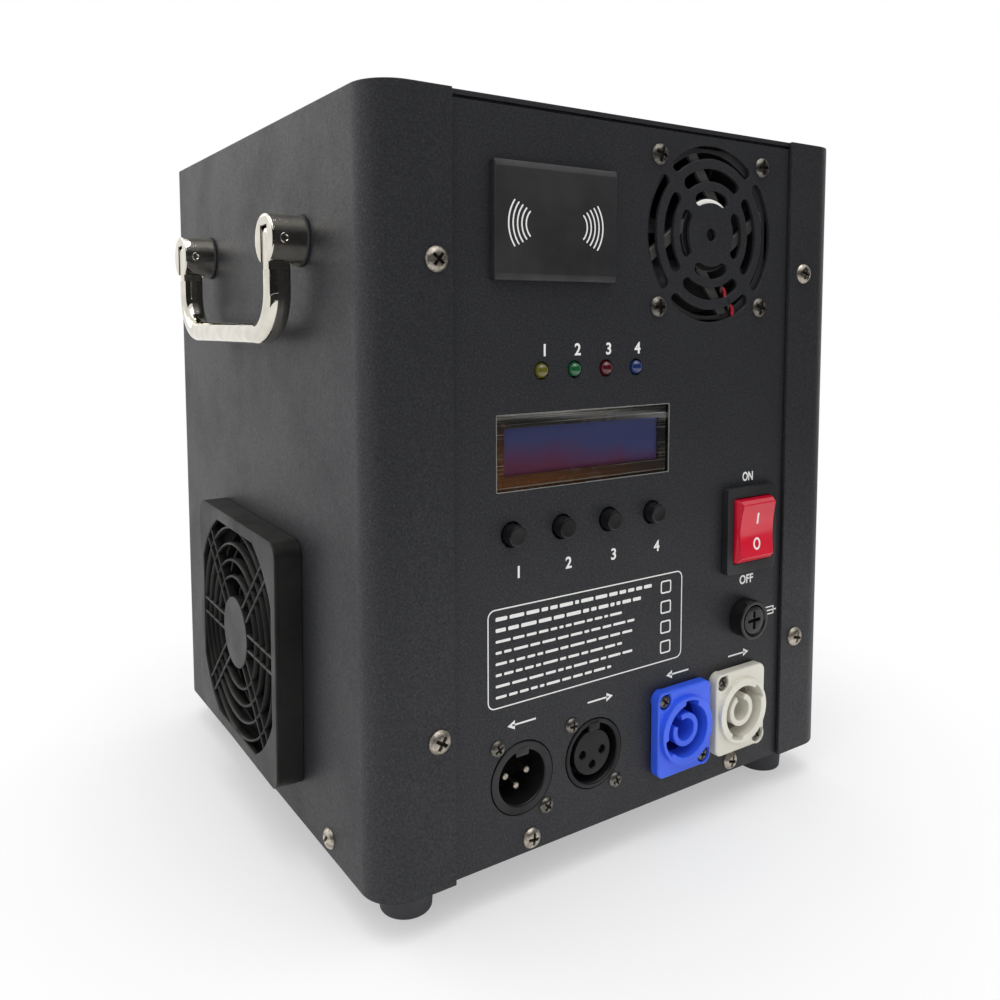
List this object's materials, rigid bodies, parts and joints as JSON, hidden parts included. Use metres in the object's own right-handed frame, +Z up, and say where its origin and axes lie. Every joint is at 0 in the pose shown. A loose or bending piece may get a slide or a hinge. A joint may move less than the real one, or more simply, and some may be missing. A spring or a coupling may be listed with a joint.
{
  "type": "cold spark machine",
  "caption": "Black sheet-metal cold spark machine on rubber feet, with a control front, a guarded side fan, drop handles, a spark outlet and a powder hopper.",
  "frame": {"origin": "centre of the footprint of the whole machine, on the floor under the feet", "axes": "+Z up; -Y out of the control front; +X to the right of someone who faces the control front"},
  "size_m": [0.2266, 0.2088, 0.2607],
  "materials": {
    "black_coat": "satin powder coat",
    "chrome": "polished",
    "steel": "plain",
    "rubber": "matte",
    "black_plastic": "satin moulded",
    "clear_pane": "clear tinted",
    "board_green": "matte",
    "red_plastic": "gloss",
    "blue_plastic": "satin",
    "ivory_plastic": "satin",
    "yellow_lens": "gloss translucent",
    "green_lens": "gloss translucent",
    "red_lens": "gloss translucent",
    "blue_lens": "gloss translucent",
    "fuse_glass": "clear",
    "ceramic": "matte",
    "copper": "lacquered",
    "red_rubber": "matte",
    "aluminium": "plain"
  },
  "bodies": {
    "machine": {"base_tray": "black_coat", "blower_housing": "black_plastic", "case_wrap": "black_coat", "ceramic_sleeve": "ceramic", "control_board": "board_green", "dmx_in_socket": "black_plastic", "dmx_out_socket": "black_plastic", "exhaust_fan_frame": "black_plastic", "fan_guard": "black_plastic", "feed_motor": "steel", "filter_frame": "black_plastic", "foot_front_left": "rubber", "foot_front_right": "rubber", "foot_rear_left": "rubber", "foot_rear_right": "rubber", "front_panel": "black_coat", "fuse_holder": "black_plastic", "heating_barrel": "steel", "hopper": "steel", "hopper_seal": "red_rubber", "induction_coil": "copper", "lcd_module": "black_plastic", "lcd_window": "clear_pane", "led_blue": "blue_lens", "led_green": "green_lens", "led_red": "red_lens", "led_yellow": "yellow_lens", "left_handle_pin_front": "steel", "left_handle_pin_rear": "steel", "left_handle_post_front": "chrome", "left_handle_post_rear": "chrome", "main_board": "board_green", "nozzle_tube": "steel", "power_in_socket": "blue_plastic", "power_out_socket": "ivory_plastic", "power_supply": "aluminium", "receiver_board": "board_green", "remote_cover": "black_plastic", "right_handle_pin_front": "steel", "right_handle_pin_rear": "steel", "right_handle_post_front": "chrome", "right_handle_post_rear": "chrome", "side_fan_frame": "black_plastic", "switch_housing": "black_plastic", "top_plate": "black_coat"},
    "left_bail": {"left_handle_bail": "chrome"},
    "right_bail": {"right_handle_bail": "chrome"},
    "button_body_1": {"button_1": "black_plastic"},
    "button_body_2": {"button_2": "black_plastic"},
    "button_body_3": {"button_3": "black_plastic"},
    "button_body_4": {"button_4": "black_plastic"},
    "rocker": {"switch_rocker": "red_plastic"},
    "side_fan": {"side_fan_rotor": "black_plastic"},
    "exhaust_fan": {"exhaust_fan_rotor": "black_plastic"},
    "blower_wheel": {"blower_impeller": "black_plastic"},
    "screw": {"feed_screw": "steel"},
    "fuse_draw": {"fuse_link": "fuse_glass"},
    "fuse_cap_body": {"fuse_cap": "black_plastic"},
    "lid": {"hopper_lid": "black_plastic"}
  },
  "joints": [
    {"name": "left_handle_swing", "type": "hinge", "parent": "machine", "child": "left_bail", "pos_m": [-0.1091, 0.00106, 0.2092], "axis": [0, 1, 0], "range_deg": [0, 90]},
    {"name": "right_handle_swing", "type": "hinge", "parent": "machine", "child": "right_bail", "pos_m": [0.1091, 0.00106, 0.2092], "axis": [0, -1, 0], "range_deg": [0, 90]},
    {"name": "button_1_press", "type": "slide", "parent": "machine", "child": "button_body_1", "axis": [0, 1, 0], "range_m": [0, 0.001], "stiffness_N_per_m": 300},
    {"name": "button_2_press", "type": "slide", "parent": "machine", "child": "button_body_2", "axis": [0, 1, 0], "range_m": [0, 0.001], "stiffness_N_per_m": 300},
    {"name": "button_3_press", "type": "slide", "parent": "machine", "child": "button_body_3", "axis": [0, 1, 0], "range_m": [0, 0.001], "stiffness_N_per_m": 300},
    {"name": "button_4_press", "type": "slide", "parent": "machine", "child": "button_body_4", "axis": [0, 1, 0], "range_m": [0, 0.001], "stiffness_N_per_m": 300},
    {"name": "rocker_tip", "type": "hinge", "parent": "machine", "child": "rocker", "pos_m": [0.0536, -0.09744, 0.1063], "axis": [-1, 0, 0], "range_deg": [0, 15]},
    {"name": "side_fan_spin", "type": "hinge", "parent": "machine", "child": "side_fan", "pos_m": [-0.087, -0.00004, 0.07], "axis": [1, 0, 0], "continuous": true},
    {"name": "exhaust_fan_spin", "type": "hinge", "parent": "machine", "child": "exhaust_fan", "pos_m": [0.0325, -0.08164, 0.2138], "axis": [0, 1, 0], "continuous": true},
    {"name": "blower_spin", "type": "hinge", "parent": "machine", "child": "blower_wheel", "pos_m": [-0.033, 0.01436, 0.068], "axis": [0, 1, 0], "continuous": true},
    {"name": "feed_screw_turn", "type": "hinge", "parent": "machine", "child": "screw", "pos_m": [0.029, 0.01436, 0.139], "axis": [1, 0, 0], "continuous": true},
    {"name": "fuse_pull", "type": "slide", "parent": "machine", "child": "fuse_draw", "axis": [0, -1, 0], "range_m": [0, 0.035]},
    {"name": "fuse_cap_turn", "type": "hinge", "parent": "fuse_draw", "child": "fuse_cap_body", "pos_m": [0.0524, -0.09764, 0.0724], "axis": [0, 1, 0], "range_deg": [0, 45]},
    {"name": "hopper_lid_lift", "type": "slide", "parent": "machine", "child": "lid", "axis": [0, 0, 1], "range_m": [0, 0.03]}
  ]
}
